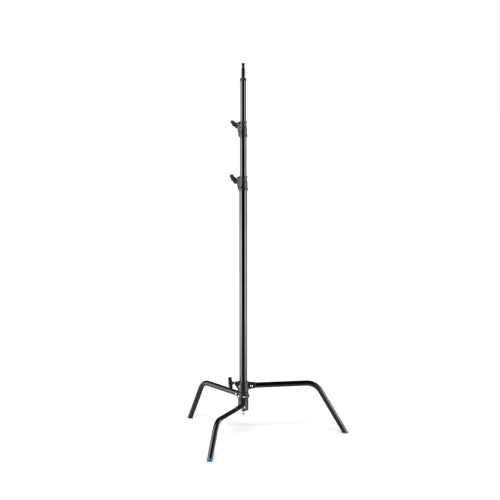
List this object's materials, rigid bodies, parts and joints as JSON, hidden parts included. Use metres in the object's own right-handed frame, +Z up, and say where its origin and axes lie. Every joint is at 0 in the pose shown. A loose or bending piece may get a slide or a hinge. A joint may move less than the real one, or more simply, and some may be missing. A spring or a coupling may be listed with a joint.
{
  "type": "grip stand",
  "caption": "Lighting grip stand: three bent legs that fold round a column, one sliding up it, two telescopic risers with T-knob clamps and a spigot on top.",
  "frame": {"origin": "on the column's axis at floor level", "axes": "+Z up the column; +X along the sliding leg's side, 9.7 degrees from that leg"},
  "size_m": [0.7488, 0.8819, 1.681],
  "materials": {
    "black_chrome": "polished black chrome plating on steel tube",
    "black_casting": "black powder-coated casting",
    "black_knob": "satin black moulded nylon",
    "blue_foot": "satin blue rubber",
    "bright_steel": "bright zinc plating",
    "black_steel": "black oxide",
    "white_nylon": "natural nylon",
    "plug_aluminium": "turned aluminium"
  },
  "bodies": {
    "column": {"column_tube": "black_chrome", "column_plug": "plug_aluminium", "base_bolt": "bright_steel", "base_washer": "bright_steel", "base_spring": "bright_steel", "thrust_washer": "black_knob", "stop_ring": "black_steel", "lower_collar": "black_casting", "lower_collar_wiper": "white_nylon", "lower_collar_rivets": "black_steel", "bottom_leg_casting": "black_casting", "bottom_leg_tube": "black_chrome", "bottom_leg_foot": "blue_foot", "bottom_leg_bolt": "bright_steel", "bottom_leg_nut": "bright_steel"},
    "middle_leg": {"middle_leg_casting": "black_casting", "middle_leg_tube": "black_chrome", "middle_leg_foot": "blue_foot", "middle_leg_bolt": "bright_steel", "middle_leg_nut": "bright_steel", "middle_detent_screws": "bright_steel"},
    "slide_bush": {"slide_bush": "white_nylon"},
    "sliding_leg": {"sliding_leg_casting": "black_casting", "sliding_leg_tube": "black_chrome", "sliding_leg_foot": "blue_foot", "sliding_leg_bolt": "bright_steel", "sliding_leg_nut": "bright_steel", "bush_screw": "bright_steel"},
    "base_pad": {"base_knob_pad": "bright_steel"},
    "base_knob": {"base_knob_screw": "bright_steel", "base_knob_handle": "black_knob"},
    "lower_pad": {"lower_knob_pad": "bright_steel"},
    "lower_knob": {"lower_knob_screw": "bright_steel", "lower_knob_handle": "black_knob"},
    "riser_1_guide": {"riser_1_guide": "white_nylon"},
    "riser_1": {"riser_1_tube": "black_chrome", "upper_collar": "black_casting", "upper_collar_wiper": "white_nylon", "upper_collar_rivets": "black_steel"},
    "upper_pad": {"upper_knob_pad": "bright_steel"},
    "upper_knob": {"upper_knob_screw": "bright_steel", "upper_knob_handle": "black_knob"},
    "riser_2_guide": {"riser_2_guide": "white_nylon"},
    "riser_2": {"riser_2_tube": "black_chrome", "top_cap": "black_casting", "top_stud": "black_steel", "stud_pin": "black_steel"}
  },
  "joints": [
    {"name": "middle_leg_fold", "type": "hinge", "parent": "column", "child": "middle_leg", "pos_m": [0, 0, 0.19], "axis": [0, 0, 1], "range_deg": [0, 123]},
    {"name": "sliding_leg_lift", "type": "slide", "parent": "column", "child": "slide_bush", "axis": [0, 0, 1], "range_m": [0, 0.85]},
    {"name": "sliding_leg_fold", "type": "hinge", "parent": "slide_bush", "child": "sliding_leg", "pos_m": [0, 0, 0.23], "axis": [0, 0, 1], "range_deg": [-110, 0]},
    {"name": "riser_1_slide", "type": "slide", "parent": "column", "child": "riser_1_guide", "axis": [0, 0, 1], "range_m": [-0.172, 0.73]},
    {"name": "riser_1_turn", "type": "hinge", "parent": "riser_1_guide", "child": "riser_1", "pos_m": [0, 0, 0.35], "axis": [0, 0, 1], "continuous": true},
    {"name": "riser_2_slide", "type": "slide", "parent": "riser_1", "child": "riser_2_guide", "axis": [0, 0, 1], "range_m": [-0.175, 0.77]},
    {"name": "riser_2_turn", "type": "hinge", "parent": "riser_2_guide", "child": "riser_2", "pos_m": [0, 0, 0.55], "axis": [0, 0, 1], "continuous": true},
    {"name": "base_pad_slide", "type": "slide", "parent": "sliding_leg", "child": "base_pad", "axis": [-0.9857, -0.1685, 0], "range_m": [0, 0.0025]},
    {"name": "base_knob_turn", "type": "hinge", "parent": "base_pad", "child": "base_knob", "pos_m": [0, 0, 0.25], "axis": [-0.9857, -0.1685, 0], "range_deg": [0, 720]},
    {"name": "lower_pad_slide", "type": "slide", "parent": "column", "child": "lower_pad", "axis": [-0.848, 0.5299, 0], "range_m": [0, 0.0025]},
    {"name": "lower_knob_turn", "type": "hinge", "parent": "lower_pad", "child": "lower_knob", "pos_m": [0, 0, 1.167], "axis": [-0.848, 0.5299, 0], "range_deg": [0, 720]},
    {"name": "upper_pad_slide", "type": "slide", "parent": "riser_1", "child": "upper_pad", "axis": [-0.848, 0.5299, 0], "range_m": [0, 0.0025]},
    {"name": "upper_knob_turn", "type": "hinge", "parent": "upper_pad", "child": "upper_knob", "pos_m": [0, 0, 1.41], "axis": [-0.848, 0.5299, 0], "range_deg": [0, 720]}
  ],
  "couplings": [
    {"joint": "base_pad_slide", "follows": "base_knob_turn", "m_per_rad": 0.00019894},
    {"joint": "lower_pad_slide", "follows": "lower_knob_turn", "m_per_rad": 0.00019894},
    {"joint": "upper_pad_slide", "follows": "upper_knob_turn", "m_per_rad": 0.00019894}
  ]
}
